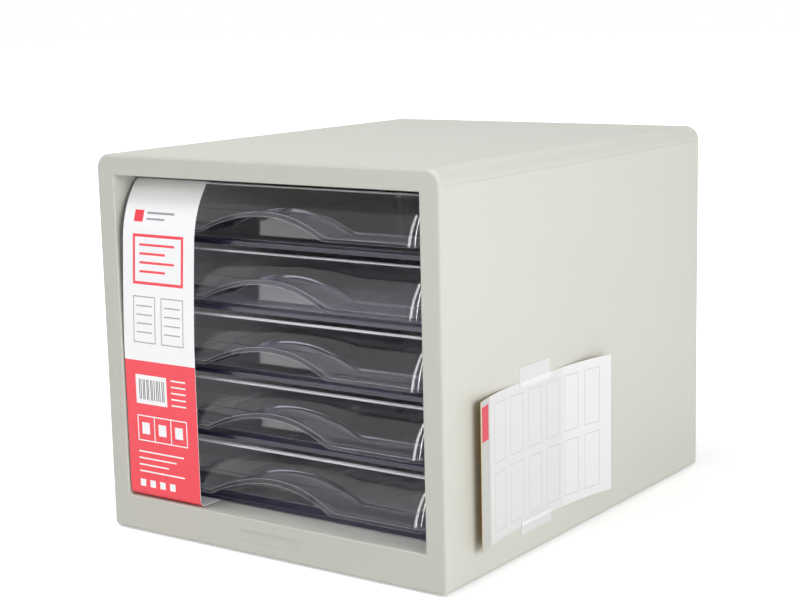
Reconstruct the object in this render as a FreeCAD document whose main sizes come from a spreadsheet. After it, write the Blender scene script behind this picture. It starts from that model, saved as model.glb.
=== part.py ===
import FreeCAD, Part
import math
import os
import Sketcher

# Desktop file drawer: a moulded casing with five pull-out A4 drawers, in millimetres.
# X points right, Y points back and Z up. The origin is the centre of the casing's underside.

SIZES = {
    # casing walls
    "casing_wall": 2.5,
    "top_corner": 10.0,
    "bottom_corner": 4.0,
    "edge_fillet": 2.5,
    "seam_offset": 0.3,
    "seam_gap": 0.3,
    "joint_gap": 0.3,
    # front frame and back panel
    "side_bar": 15.2,
    "top_bar": 13.9,
    "bottom_bar": 24.2,
    "plate_thickness": 3.0,
    "throat_depth": 22.0,
    "throat_wall": 2.0,
    "throat_fillet": 0.8,
    "tongue_depth": 10.0,
    "tongue_wall": 2.0,
    "rib_thickness": 1.5,
    "rib_depth": 9.0,
    "rib_row_inset": 12.3,
    "recess_width": 47.6,
    "recess_height": 8.2,
    "recess_depth": 0.5,
    "recess_fillet": 1.0,
    # drawers
    "drawer_width": 243.0,
    "drawer_depth": 334.2,
    "drawer_height": 40.0,
    "hem_rise": 2.0,
    "drawer_wall": 2.0,
    "drawer_gap": 3.6,
    "side_gap": 1.8,
    "sill_gap": 1.3,
    "top_gap": 4.2,
    "rear_gap": 5.0,
    "nose_setback": 1.8,
    "visor_setback": 18.2,
    "visor_radius": 46.0,
    "visor_step": 16.0,
    "plan_radius": 8.5,
    "rear_radius": 4.0,
    "mouth_height": 10.0,
    "mouth_depth": 32.2,
    "lip_height": 3.0,
    "lip_thickness": 1.5,
    "arch_half_width": 50.0,
    "arch_rise": 12.5,
    "hem_fillet": 0.6,
    "slide_travel": 255.0,
    "stop_gap": 0.5,
    # stop ears at the rear of each drawer
    "ear_reach": 4.0,
    "ear_length": 14.0,
    "ear_ramp": 8.0,
    "ear_height": 10.0,
    "ear_lift": 6.0,
    # runner panels
    "runner_web": 2.0,
    "runner_clearance": 5.5,
    "ledge_reach": 7.5,
    "ledge_thickness": 2.0,
    "ledge_gap": 0.3,
    "stop_clearance": 1.0,
    "stop_thickness": 4.0,
    "runner_rib": 1.5,
    "runner_rib_pitch": 60.0,
    # top cover and base
    "cover_tongue": 7.7,
    "cover_tongue_wall": 1.5,
    "stiffener_width": 2.0,
    "stiffener_height": 3.0,
    "flange_width": 26.5,
    "lap_width": 21.0,
    "lap_step": 2.7,
    # feet and screws
    "foot_diameter": 11.0,
    "foot_thickness": 1.6,
    "foot_recess": 0.6,
    "foot_inset_x": 12.0,
    "foot_inset_y": 20.0,
    "screw_diameter": 3.0,
    "screw_length": 9.0,
    "screw_head": 5.6,
    "screw_head_height": 1.5,
    "screw_recess": 1.2,
    "screw_clearance": 0.1,
    "screw_inset_x": 19.0,
    "screw_inset_y": 50.0,
    "boss_diameter": 8.0,
    "boss_height": 9.0,
    # paper band over the drawer fronts, card sheet and tapes on the right wall
    "paper_thickness": 0.5,
    "paper_gap": 0.3,
    "band_inset": 0.4,
    "band_width": 62.5,
    "band_cut": 0.5,
    "band_curl": 13.0,
    "band_tail": 12.0,
    "band_fold": 18.0,
    "card_length": 161.5,
    "card_height": 94.5,
    "card_front": 28.5,
    "card_bottom": 21.0,
    "card_front_curl": 7.0,
    "card_rear_curl": 8.5,
    "tape_front": 85.0,
    "tape_length": 38.0,
    "tape_height": 13.0,
    "tape_lap": 3.5,
    "lower_tape_height": 9.0,
    "tape_thickness": 0.3,
}

DRAWERS = 5
SIDE_RIBS = 5
TOP_RIBS = 7
RUNNER_RIBS = 5
STIFFENERS = 5
TOUCH = 0.01

doc = FreeCAD.newDocument("desktop_file_drawer")
sheet = doc.addObject("Spreadsheet::Sheet", "sizes")


def size(name):
    return f"sizes.{name}"


# Expressions that place one piece against another. Lengths along Y count from the casing's front.
PITCH = "(sizes.drawer_height + sizes.drawer_gap)"
HALF_WIDTH = "(sizes.drawer_width / 2 + sizes.side_gap + sizes.side_bar)"
HALF_OPENING = "(sizes.drawer_width / 2 + sizes.side_gap)"
HALF_INSIDE = f"({HALF_WIDTH} - sizes.casing_wall)"
DEPTH = "(sizes.nose_setback + sizes.drawer_depth + sizes.rear_gap + sizes.plate_thickness)"
FRONT = f"(-{DEPTH} / 2)"
BACK = f"({DEPTH} / 2)"
OPENING_TOP = (
    f"(sizes.bottom_bar + sizes.sill_gap + {DRAWERS - 1} * {PITCH}"
    " + sizes.drawer_height + sizes.top_gap)"
)
HEIGHT = f"({OPENING_TOP} + sizes.top_bar)"
SEAM = f"({HEIGHT} - sizes.top_corner - sizes.seam_offset)"
NOSE = f"({FRONT} + sizes.nose_setback)"
LOWEST_DRAWER = "(sizes.bottom_bar + sizes.sill_gap)"
INNER_FRONT = f"({FRONT} + sizes.plate_thickness)"
INNER_BACK = f"({BACK} - sizes.plate_thickness)"
BETWEEN_PLATES = f"({INNER_BACK} - {INNER_FRONT})"
CLEAR_FRONT = f"({INNER_FRONT} + sizes.tongue_depth + sizes.joint_gap)"
CLEAR_LENGTH = f"({BETWEEN_PLATES} - 2 * (sizes.tongue_depth + sizes.joint_gap))"
FOOT_X = f"({HALF_WIDTH} - sizes.foot_inset_x)"
FOOT_Y = f"({INNER_BACK} - sizes.foot_inset_y)"
SCREW_X = f"({HALF_WIDTH} - sizes.screw_inset_x)"
SCREW_Y = f"({INNER_BACK} - sizes.screw_inset_y)"
SCREW_HOLE = "(sizes.screw_diameter + 2 * sizes.screw_clearance)"
WEB_INNER = "(sizes.drawer_width / 2 + sizes.runner_clearance)"
WEB_OUTER = f"({WEB_INNER} + sizes.runner_web)"


# ---------------------------------------------------------------- document helpers

def fill_sheet():
    for row, (name, number) in enumerate(SIZES.items(), start=1):
        sheet.set(f"A{row}", str(number))
        sheet.setAlias(f"A{row}", name)
    doc.recompute()


def value(expression):
    return float(sheet.evalExpression(expression))


def new_body(name):
    body = doc.addObject("PartDesign::Body", name)
    body.Label = name
    return body


def new_sketch(owner, role, name, offset="0"):
    """A sketch on one of the body's own origin planes, moved along that plane's normal."""
    sketch = owner.newObject("Sketcher::SketchObject", name)
    plane = [item for item in owner.Origin.OriginFeatures if item.Role == role][0]
    sketch.AttachmentSupport = [(plane, "")]
    sketch.MapMode = "FlatFace"
    sketch.setExpression("AttachmentOffset.Base.z", offset)
    return sketch


def pin(sketch, edge, end, point):
    """Hold one end of an edge at a point given by two expressions."""
    for kind, coordinate in zip(("DistanceX", "DistanceY"), point):
        rule = Sketcher.Constraint(kind, -1, 1, edge, end, value(coordinate))
        index = sketch.addConstraint(rule)
        sketch.setExpression(f"Constraints[{index}]", coordinate)


def arc_between(start, end, radius):
    """The shorter arc from start to end. A positive radius turns left, a negative one right."""
    chord = end - start
    reach = math.sqrt(max(radius * radius - chord.Length * chord.Length / 4, 0.0))
    left = FreeCAD.Vector(-chord.y, chord.x, 0).normalize()
    side = 1 if radius > 0 else -1
    centre = (start + end) * 0.5 + left * (reach * side)
    first, last = (start, end) if side > 0 else (end, start)
    angles = [math.atan2(p.y - centre.y, p.x - centre.x) for p in (first, last)]
    if angles[1] < angles[0]:
        angles[1] += 2 * math.pi
    whole = Part.Circle(centre, FreeCAD.Vector(0, 0, 1), abs(radius))
    return Part.ArcOfCircle(whole, angles[0], angles[1])


def outline(sketch, corners):
    """Close a loop through corners, each (x, y) or (x, y, radius of the arc to the next corner)."""
    points = [FreeCAD.Vector(value(c[0]), value(c[1]), 0) for c in corners]
    ends = []
    for number, corner in enumerate(corners):
        start, end = points[number], points[(number + 1) % len(points)]
        if len(corner) == 2:
            edge = sketch.addGeometry(Part.LineSegment(start, end))
            ends.append((edge, 1, 2))
            continue
        radius = value(corner[2])
        edge = sketch.addGeometry(arc_between(start, end, radius))
        ends.append((edge, 1, 2) if radius > 0 else (edge, 2, 1))
        index = sketch.addConstraint(Sketcher.Constraint("Radius", edge, abs(radius)))
        sketch.setExpression(f"Constraints[{index}]", f"abs({corner[2]})")
    for number, (edge, first, last) in enumerate(ends):
        following = ends[(number + 1) % len(ends)]
        sketch.addConstraint(Sketcher.Constraint("Coincident", edge, last, following[0], following[1]))
        pin(sketch, edge, first, corners[number])


def circle(sketch, x, y, diameter):
    centre = FreeCAD.Vector(value(x), value(y), 0)
    normal = FreeCAD.Vector(0, 0, 1)
    edge = sketch.addGeometry(Part.Circle(centre, normal, value(diameter) / 2))
    pin(sketch, edge, 3, (x, y))
    index = sketch.addConstraint(Sketcher.Constraint("Diameter", edge, value(diameter)))
    sketch.setExpression(f"Constraints[{index}]", diameter)


def extrude(owner, kind, sketch, length, backwards=False, both_ways=False):
    """A Pad or a Pocket of one length. An XZ sketch pads to the front unless it goes backwards."""
    feature = owner.newObject(f"PartDesign::{kind}", f"{sketch.Name}_{kind.lower()}")
    feature.Profile = sketch
    feature.setExpression("Length", length)
    feature.Reversed = backwards
    feature.Midplane = both_ways
    doc.recompute()
    return feature


def pad_depthwise(owner, name, corners, start, length):
    """Pad an outline seen from the front, from the Y place start towards the back."""
    sketch = new_sketch(owner, "XZ_Plane", name, f"-{start}")
    outline(sketch, corners)
    return extrude(owner, "Pad", sketch, length, backwards=True)


def box_corners(left, right, bottom, top):
    return [(left, bottom), (right, bottom), (right, top), (left, top)]


def edges_where(shape, test):
    """Names of the edges whose middle point passes a test."""
    names = []
    for number, edge in enumerate(shape.Edges, start=1):
        middle = edge.valueAt((edge.FirstParameter + edge.LastParameter) / 2)
        if test(middle):
            names.append(f"Edge{number}")
    return names


def fillet(owner, feature, test, radius):
    names = edges_where(feature.Shape, test)
    if not names:
        raise RuntimeError(f"no edge to round on {owner.Label}")
    rounding = owner.newObject("PartDesign::Fillet", f"{feature.Name}_round")
    rounding.Base = (feature, names)
    rounding.setExpression("Radius", radius)
    doc.recompute()
    return rounding


def repeat(owner, features, axis, span, count):
    """Copies of features along an origin axis."""
    pattern = owner.newObject("PartDesign::LinearPattern", f"{features[0].Name}_row")
    pattern.Originals = features
    direction = [item for item in owner.Origin.OriginFeatures if item.Role == axis][0]
    pattern.Direction = (direction, [""])
    pattern.setExpression("Length", span)
    pattern.Occurrences = count
    owner.Tip = pattern
    doc.recompute()
    return pattern


def mirror_across_middle(owner, features):
    """The same features on the other side of X = 0."""
    mirrored = owner.newObject("PartDesign::Mirrored", f"{features[0].Name}_mirrored")
    mirrored.Originals = features
    plane = [item for item in owner.Origin.OriginFeatures if item.Role == "YZ_Plane"][0]
    mirrored.MirrorPlane = (plane, [""])
    owner.Tip = mirrored
    doc.recompute()
    return mirrored


def mirrored_part(source, name):
    """The opposite-handed copy of a whole piece."""
    copy = doc.addObject("Part::Mirroring", name)
    copy.Source = source
    copy.Normal = FreeCAD.Vector(1, 0, 0)
    copy.Label = name
    return copy


def on_plane(coordinate, place):
    return abs(coordinate - place) < TOUCH


# ---------------------------------------------------------------- casing outline

def casing_outline():
    """The casing seen from the front: large corners above, small ones below."""
    right, left = HALF_WIDTH, f"-{HALF_WIDTH}"
    inner_right = f"({HALF_WIDTH} - sizes.top_corner)"
    lower_right = f"({HALF_WIDTH} - sizes.bottom_corner)"
    shoulder = f"({HEIGHT} - sizes.top_corner)"
    return [
        (f"-{lower_right}", "0"),
        (lower_right, "0", "sizes.bottom_corner"),
        (right, "sizes.bottom_corner"),
        (right, shoulder, "sizes.top_corner"),
        (inner_right, HEIGHT),
        (f"-{inner_right}", HEIGHT, "sizes.top_corner"),
        (left, shoulder),
        (left, "sizes.bottom_corner", "sizes.bottom_corner"),
    ]


def tongue_outline(inset):
    """The ring that locates a plate inside the walls, inset from their inner faces."""
    side = f"({HALF_INSIDE} - sizes.joint_gap - {inset})"
    roof = f"({HEIGHT} - sizes.casing_wall - sizes.joint_gap - {inset})"
    corner = f"(sizes.top_corner - sizes.casing_wall - sizes.joint_gap - {inset})"
    floor = f"(2 * sizes.casing_wall + sizes.joint_gap + {inset})"
    return [
        (f"-{side}", floor),
        (side, floor),
        (side, f"({roof} - {corner})", corner),
        (f"({side} - {corner})", roof),
        (f"-({side} - {corner})", roof, corner),
        (f"-{side}", f"({roof} - {corner})"),
    ]


def add_tongue(owner, name, start):
    sketch = new_sketch(owner, "XZ_Plane", name, f"-{start}")
    outline(sketch, tongue_outline("0"))
    outline(sketch, tongue_outline("sizes.tongue_wall"))
    return extrude(owner, "Pad", sketch, "sizes.tongue_depth", backwards=True)


# ---------------------------------------------------------------- front frame and back panel

def make_front_frame():
    frame = new_body("front_frame")
    plate = pad_depthwise(frame, "frame_plate", casing_outline(), FRONT, "sizes.plate_thickness")
    front = value(FRONT)
    plate = fillet(frame, plate, lambda middle: on_plane(middle.y, front), "sizes.edge_fillet")

    opening = box_corners(f"-{HALF_OPENING}", HALF_OPENING, "sizes.bottom_bar", OPENING_TOP)
    wall = "sizes.throat_wall"
    sleeve = box_corners(
        f"-({HALF_OPENING} + {wall})",
        f"({HALF_OPENING} + {wall})",
        f"(sizes.bottom_bar - {wall})",
        f"({OPENING_TOP} + {wall})",
    )
    behind = "(sizes.throat_depth - sizes.plate_thickness)"
    pad_depthwise(frame, "throat", sleeve, INNER_FRONT, behind)
    add_tongue(frame, "frame_tongue", INNER_FRONT)
    add_frame_ribs(frame)

    sketch = new_sketch(frame, "XZ_Plane", "opening", f"-({FRONT} + sizes.throat_depth)")
    outline(sketch, opening)
    cut = extrude(frame, "Pocket", sketch, "sizes.throat_depth", backwards=True)

    side = value(HALF_OPENING) + TOUCH
    sill, lintel = value("sizes.bottom_bar") - TOUCH, value(OPENING_TOP) + TOUCH

    def on_rim(middle):
        return on_plane(middle.y, front) and abs(middle.x) < side and sill < middle.z < lintel

    fillet(frame, cut, on_rim, "sizes.throat_fillet")
    add_plate_recess(frame)
    return frame


def add_frame_ribs(frame):
    """Webs between the throat and the tongue, a row on each side and one along the top."""
    inner = f"({HALF_OPENING} + sizes.throat_wall / 2)"
    outer = f"({HALF_INSIDE} - sizes.joint_gap - sizes.tongue_wall / 2)"
    low = f"({LOWEST_DRAWER} + sizes.drawer_height / 2)"
    web = box_corners(inner, outer, low, f"({low} + sizes.rib_thickness)")
    side = pad_depthwise(frame, "side_rib", web, INNER_FRONT, "sizes.rib_depth")
    repeat(frame, [side], "Z_Axis", f"{SIDE_RIBS - 1} * {PITCH}", SIDE_RIBS)
    web = box_corners(f"-{outer}", f"-{inner}", low, f"({low} + sizes.rib_thickness)")
    side = pad_depthwise(frame, "left_rib", web, INNER_FRONT, "sizes.rib_depth")
    repeat(frame, [side], "Z_Axis", f"{SIDE_RIBS - 1} * {PITCH}", SIDE_RIBS)

    start = f"(sizes.rib_row_inset - {HALF_OPENING})"
    row = f"-2 * {start} - sizes.rib_thickness"
    floor = f"({OPENING_TOP} + sizes.throat_wall / 2)"
    roof = f"({HEIGHT} - sizes.casing_wall - sizes.joint_gap - sizes.tongue_wall / 2)"
    web = box_corners(start, f"({start} + sizes.rib_thickness)", floor, roof)
    top = pad_depthwise(frame, "top_rib", web, INNER_FRONT, "sizes.rib_depth")
    repeat(frame, [top], "X_Axis", row, TOP_RIBS)

    floor = "(2 * sizes.casing_wall + sizes.joint_gap + sizes.tongue_wall / 2)"
    roof = "(sizes.bottom_bar - sizes.throat_wall / 2)"
    web = box_corners(start, f"({start} + sizes.rib_thickness)", floor, roof)
    low_rib = pad_depthwise(frame, "bottom_rib", web, INNER_FRONT, "sizes.rib_depth")
    repeat(frame, [low_rib], "X_Axis", row, TOP_RIBS)


def add_plate_recess(frame):
    """The shallow bare plate in the middle of the bottom bar."""
    half = "(sizes.recess_width / 2)"
    middle = "(sizes.bottom_bar / 2)"
    low = f"({middle} - sizes.recess_height / 2)"
    high = f"({middle} + sizes.recess_height / 2)"
    corner = "sizes.recess_fillet"
    corners = [
        (f"-({half} - {corner})", low),
        (f"({half} - {corner})", low, corner),
        (half, f"({low} + {corner})"),
        (half, f"({high} - {corner})", corner),
        (f"({half} - {corner})", high),
        (f"-({half} - {corner})", high, corner),
        (f"-{half}", f"({high} - {corner})"),
        (f"-{half}", f"({low} + {corner})", corner),
    ]
    sketch = new_sketch(frame, "XZ_Plane", "plate_recess", f"-({FRONT} + sizes.recess_depth)")
    outline(sketch, corners)
    extrude(frame, "Pocket", sketch, "sizes.recess_depth * 2", backwards=True)


def make_back_panel():
    panel = new_body("back_panel")
    plate = pad_depthwise(panel, "back_plate", casing_outline(), INNER_BACK, "sizes.plate_thickness")
    back = value(BACK)
    fillet(panel, plate, lambda middle: on_plane(middle.y, back), "sizes.edge_fillet")
    add_tongue(panel, "back_tongue", f"({INNER_BACK} - sizes.tongue_depth)")

    reach = "(sizes.drawer_width / 2 - sizes.ledge_reach - sizes.joint_gap)"
    start = f"({INNER_BACK} - sizes.stiffener_height)"
    web = box_corners(f"-{reach}", reach, LOWEST_DRAWER, f"({LOWEST_DRAWER} + sizes.rib_thickness)")
    rib = pad_depthwise(panel, "back_rib", web, start, "sizes.stiffener_height")
    repeat(panel, [rib], "Z_Axis", f"{DRAWERS - 1} * {PITCH}", DRAWERS)
    return panel


# ---------------------------------------------------------------- top cover

def make_top_cover():
    cover = new_body("top_cover")
    inner_corner = "(sizes.top_corner - sizes.casing_wall)"
    shoulder = f"({HEIGHT} - sizes.top_corner)"
    flat = f"({HALF_WIDTH} - sizes.top_corner)"
    roof = f"({HEIGHT} - sizes.casing_wall)"
    shell = [
        (HALF_WIDTH, SEAM),
        (HALF_WIDTH, shoulder, "sizes.top_corner"),
        (flat, HEIGHT),
        (f"-{flat}", HEIGHT, "sizes.top_corner"),
        (f"-{HALF_WIDTH}", shoulder),
        (f"-{HALF_WIDTH}", SEAM),
        (f"-{HALF_INSIDE}", SEAM),
        (f"-{HALF_INSIDE}", shoulder, f"-{inner_corner}"),
        (f"-{flat}", roof),
        (flat, roof, f"-{inner_corner}"),
        (HALF_INSIDE, shoulder),
        (HALF_INSIDE, SEAM),
    ]
    pad_depthwise(cover, "cover_shell", shell, INNER_FRONT, BETWEEN_PLATES)
    add_cover_tongues(cover)
    add_cover_stiffeners(cover, roof)
    return cover


def add_cover_tongues(cover):
    """A lip along each side that hangs inside the side panel."""
    outer = f"({HALF_INSIDE} - sizes.joint_gap)"
    inner = f"({outer} - sizes.cover_tongue_wall)"
    buried = f"({HALF_INSIDE} + sizes.casing_wall / 4)"
    low = f"({SEAM} - sizes.cover_tongue)"
    lip = [
        (inner, low),
        (outer, low),
        (outer, SEAM),
        (buried, SEAM),
        (buried, f"({SEAM} + sizes.cover_tongue_wall)"),
        (inner, f"({SEAM} + 3 * sizes.cover_tongue_wall)"),
    ]
    tongue = pad_depthwise(cover, "cover_tongue", lip, CLEAR_FRONT, CLEAR_LENGTH)
    mirror_across_middle(cover, [tongue])


def add_cover_stiffeners(cover, roof):
    reach = f"({HALF_OPENING} * 2 - sizes.stiffener_width)"
    low = f"({roof} - sizes.stiffener_height)"
    bar = box_corners(f"-{HALF_OPENING}", f"(sizes.stiffener_width - {HALF_OPENING})", low, roof)
    rib = pad_depthwise(cover, "cover_stiffener", bar, CLEAR_FRONT, CLEAR_LENGTH)
    repeat(cover, [rib], "X_Axis", reach, STIFFENERS)


# ---------------------------------------------------------------- side and base panels

def make_right_side_panel():
    """A wall whose lower edge turns in under the casing as a flange."""
    panel = new_body("right_side_panel")
    top = f"({SEAM} - sizes.seam_gap)"
    flange = f"({HALF_WIDTH} - sizes.flange_width)"
    wall = "sizes.casing_wall"
    section = [
        (flange, "0"),
        (f"({HALF_WIDTH} - sizes.bottom_corner)", "0", "sizes.bottom_corner"),
        (HALF_WIDTH, "sizes.bottom_corner"),
        (HALF_WIDTH, top),
        (HALF_INSIDE, top),
        (HALF_INSIDE, "sizes.bottom_corner", f"-(sizes.bottom_corner - {wall})"),
        (f"({HALF_WIDTH} - sizes.bottom_corner)", wall),
        (flange, wall),
    ]
    pad_depthwise(panel, "side_section", section, INNER_FRONT, BETWEEN_PLATES)
    foot = new_sketch(panel, "XY_Plane", "foot_recess")
    screw = new_sketch(panel, "XY_Plane", "screw_recess")
    shank = new_sketch(panel, "XY_Plane", "screw_hole")
    for side in ("", "-"):
        circle(foot, FOOT_X, f"{side}{FOOT_Y}", "sizes.foot_diameter + sizes.joint_gap")
        circle(screw, SCREW_X, f"{side}{SCREW_Y}", "sizes.screw_head + 2 * sizes.joint_gap")
        circle(shank, SCREW_X, f"{side}{SCREW_Y}", SCREW_HOLE)
    extrude(panel, "Pocket", foot, "sizes.foot_recess", backwards=True)
    extrude(panel, "Pocket", screw, "sizes.screw_recess", backwards=True)
    extrude(panel, "Pocket", shank, "2 * sizes.casing_wall", backwards=True)
    return panel


def make_base_panel():
    """The floor plate. Its raised laps lie on the side panels' flanges and take the screws."""
    base = new_body("base_panel")
    flange = f"({HALF_WIDTH} - sizes.flange_width - sizes.joint_gap)"
    lap = f"({flange} + sizes.lap_width)"
    step = f"({flange} - sizes.lap_step)"
    wall = "sizes.casing_wall"
    half = [(flange, "0"), (flange, wall), (lap, wall), (lap, f"(2 * {wall})")]
    half += [(step, f"(2 * {wall})"), (step, wall)]
    section = half + [(f"-{x}", z) for x, z in reversed(half)]
    pad_depthwise(base, "base_section", section, INNER_FRONT, BETWEEN_PLATES)

    low = f"(sizes.stiffener_width - {step} * 2 / 3)"
    bar = box_corners(f"(-{step} * 2 / 3)", low, f"({wall} / 2)", f"({wall} + sizes.stiffener_height)")
    rib = pad_depthwise(base, "base_stiffener", bar, CLEAR_FRONT, CLEAR_LENGTH)
    repeat(base, [rib], "X_Axis", f"({step} * 4 / 3 - sizes.stiffener_width)", STIFFENERS)

    boss = new_sketch(base, "XY_Plane", "screw_boss", "1.5 * sizes.casing_wall")
    hole = new_sketch(base, "XY_Plane", "boss_hole", wall)
    for across in ("", "-"):
        for along in ("", "-"):
            circle(boss, f"{across}{SCREW_X}", f"{along}{SCREW_Y}", "sizes.boss_diameter")
            circle(hole, f"{across}{SCREW_X}", f"{along}{SCREW_Y}", SCREW_HOLE)
    extrude(base, "Pad", boss, "sizes.boss_height")
    extrude(base, "Pocket", hole, "sizes.casing_wall + sizes.boss_height", backwards=True)
    return base


# ---------------------------------------------------------------- runner panels

def make_right_runner_panel():
    """An inner wall with a ledge, a front stop rib and a rear stop lug for every drawer."""
    panel = new_body("right_runner_panel")
    start = f"({FRONT} + sizes.throat_depth + sizes.joint_gap)"
    end = f"({BACK} - sizes.plate_thickness - sizes.rear_gap + sizes.ledge_gap)"
    length = f"({end} + sizes.stop_thickness / 2 - {start})"
    top = f"({OPENING_TOP} + sizes.throat_wall)"
    above_tongue = "(2 * sizes.casing_wall + sizes.tongue_wall + 2 * sizes.joint_gap)"
    web = box_corners(WEB_INNER, WEB_OUTER, above_tongue, top)
    pad_depthwise(panel, "runner_web_wall", web, start, length)

    ledge_top = f"({LOWEST_DRAWER} - sizes.ledge_gap)"
    ledge_low = f"({ledge_top} - sizes.ledge_thickness)"
    ledge_inner = "(sizes.drawer_width / 2 - sizes.ledge_reach)"
    middle_of_web = f"({WEB_INNER} + sizes.runner_web / 2)"
    shelf = box_corners(ledge_inner, middle_of_web, ledge_low, ledge_top)
    ledge = pad_depthwise(panel, "ledge", shelf, start, length)

    stop_inner = "(sizes.drawer_width / 2 + sizes.stop_clearance)"
    stop_top = f"({LOWEST_DRAWER} + sizes.ear_lift + 2 * sizes.ear_height)"
    rib = box_corners(stop_inner, middle_of_web, f"({ledge_top} - sizes.ledge_thickness / 2)", stop_top)
    ear_front = f"({NOSE} + sizes.drawer_depth - sizes.ear_length)"
    rib_front = f"({ear_front} - sizes.slide_travel - sizes.stop_gap - sizes.stop_thickness)"
    front_stop = pad_depthwise(panel, "front_stop", rib, rib_front, "sizes.stop_thickness")
    rear_stop = pad_depthwise(panel, "rear_stop", rib, end, "(sizes.stop_thickness / 2)")
    repeat(panel, [ledge, front_stop, rear_stop], "Z_Axis", f"{DRAWERS - 1} * {PITCH}", DRAWERS)
    add_runner_ribs(panel)
    return panel


def add_runner_ribs(panel):
    """Upright webs that space the runner wall from the casing's side."""
    reach = (RUNNER_RIBS - 1) / 2
    start = f"(-{reach} * sizes.runner_rib_pitch)"
    top = f"({SEAM} - sizes.cover_tongue - sizes.joint_gap)"
    rib = box_corners(f"({WEB_OUTER} - sizes.runner_web / 2)", HALF_INSIDE, "(2 * sizes.casing_wall)", top)
    web = pad_depthwise(panel, "spacer", rib, start, "sizes.runner_rib")
    repeat(panel, [web], "Y_Axis", f"{RUNNER_RIBS - 1} * sizes.runner_rib_pitch", RUNNER_RIBS)


# ---------------------------------------------------------------- drawers

def visor_y(height, inset):
    """Y of the visor's curved face at a height above the drawer's underside, seen from its nose.

    The face is an arc from the nose at the mouth's height to the hem at the drawer's height.
    An inset greater than nothing moves the face into the drawer.
    """
    rise = "(sizes.drawer_height - sizes.mouth_height)"
    half_chord = f"(sqrt(sizes.visor_setback ^ 2 + {rise} ^ 2) / 2)"
    apothem = f"sqrt(sizes.visor_radius ^ 2 - {half_chord} ^ 2)"
    centre_y = f"(sizes.visor_setback / 2 + {apothem} * {rise} / (2 * {half_chord}))"
    middle = "((sizes.drawer_height + sizes.mouth_height) / 2)"
    centre_z = f"({middle} - {apothem} * sizes.visor_setback / (2 * {half_chord}))"
    radius = f"(sizes.visor_radius - {inset})"
    return f"({centre_y} - sqrt({radius} ^ 2 - ({height} - {centre_z}) ^ 2))"


def extrusion(name, sketch, length, symmetric=True):
    solid = doc.addObject("Part::Extrusion", name)
    solid.Base = sketch
    solid.DirMode = "Normal"
    solid.Solid = True
    solid.Symmetric = symmetric
    solid.setExpression("LengthFwd", length)
    doc.recompute()
    return solid


def free_sketch(name, angles, offset_axis=None, offset="0"):
    """A sketch of its own, turned to face along X or Y."""
    sketch = doc.addObject("Sketcher::SketchObject", name)
    sketch.Placement.Rotation = FreeCAD.Rotation(*angles)
    if offset_axis:
        sketch.setExpression(f"Placement.Base.{offset_axis}", offset)
    return sketch


def rounded(name, base, test, radius):
    """A Part fillet with one radius on the edges that pass a test."""
    names = edges_where(base.Shape, test)
    if not names:
        raise RuntimeError(f"no edge to round on {base.Label}")
    solid = doc.addObject("Part::Fillet", name)
    solid.Base = base
    solid.Edges = [(int(edge[4:]), radius, radius) for edge in names]
    doc.recompute()
    return solid


def combine(kind, name, base, tool):
    solid = doc.addObject(f"Part::{kind}", name)
    solid.Base = base
    solid.Tool = tool
    doc.recompute()
    return solid


SIDE_VIEW = (90, 0, 90)
FRONT_VIEW = (0, 0, 90)


def from_nose(place):
    return f"({NOSE} + {place})"


def make_drawer_block():
    """The drawer's outside as one lump, with the visor's curve and rounded corners."""
    sketch = free_sketch("drawer_profile", SIDE_VIEW)
    lip = from_nose("sizes.visor_setback")
    rear = from_nose("sizes.drawer_depth")
    side_top = "(sizes.drawer_height - sizes.hem_rise)"
    outline(sketch, [
        (lip, "0"),
        (rear, "0"),
        (rear, side_top),
        (f"({lip} + sizes.visor_step + sizes.hem_rise)", side_top),
        (f"({lip} + sizes.visor_step)", "sizes.drawer_height"),
        (lip, "sizes.drawer_height", "sizes.visor_radius"),
        (NOSE, "sizes.mouth_height"),
        (lip, "sizes.mouth_height"),
    ])
    block = extrusion("drawer_block", sketch, "sizes.drawer_width")
    return round_block(block)


def round_block(block):
    """Round the visor's two ends, the upright rear corners and the visor's free edges."""
    box = block.Shape.BoundBox
    lip = value(from_nose("sizes.visor_setback"))
    nose = value(NOSE)
    mouth, top = value("sizes.mouth_height"), value("sizes.drawer_height")

    def at_front(middle):
        return on_plane(abs(middle.x), box.XMax) and middle.y < lip - TOUCH and middle.z > mouth + TOUCH

    def at_rear(middle):
        return on_plane(abs(middle.x), box.XMax) and on_plane(middle.y, box.YMax)

    def at_visor_edge(middle):
        hem = on_plane(middle.z, top) and on_plane(middle.y, lip)
        return hem or (on_plane(middle.z, mouth) and on_plane(middle.y, nose))

    block = rounded("front_corners", block, at_front, value("sizes.plan_radius"))
    block = rounded("rear_corners", block, at_rear, value("sizes.rear_radius"))
    return rounded("visor_edges", block, at_visor_edge, value("sizes.hem_fillet"))


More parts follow.
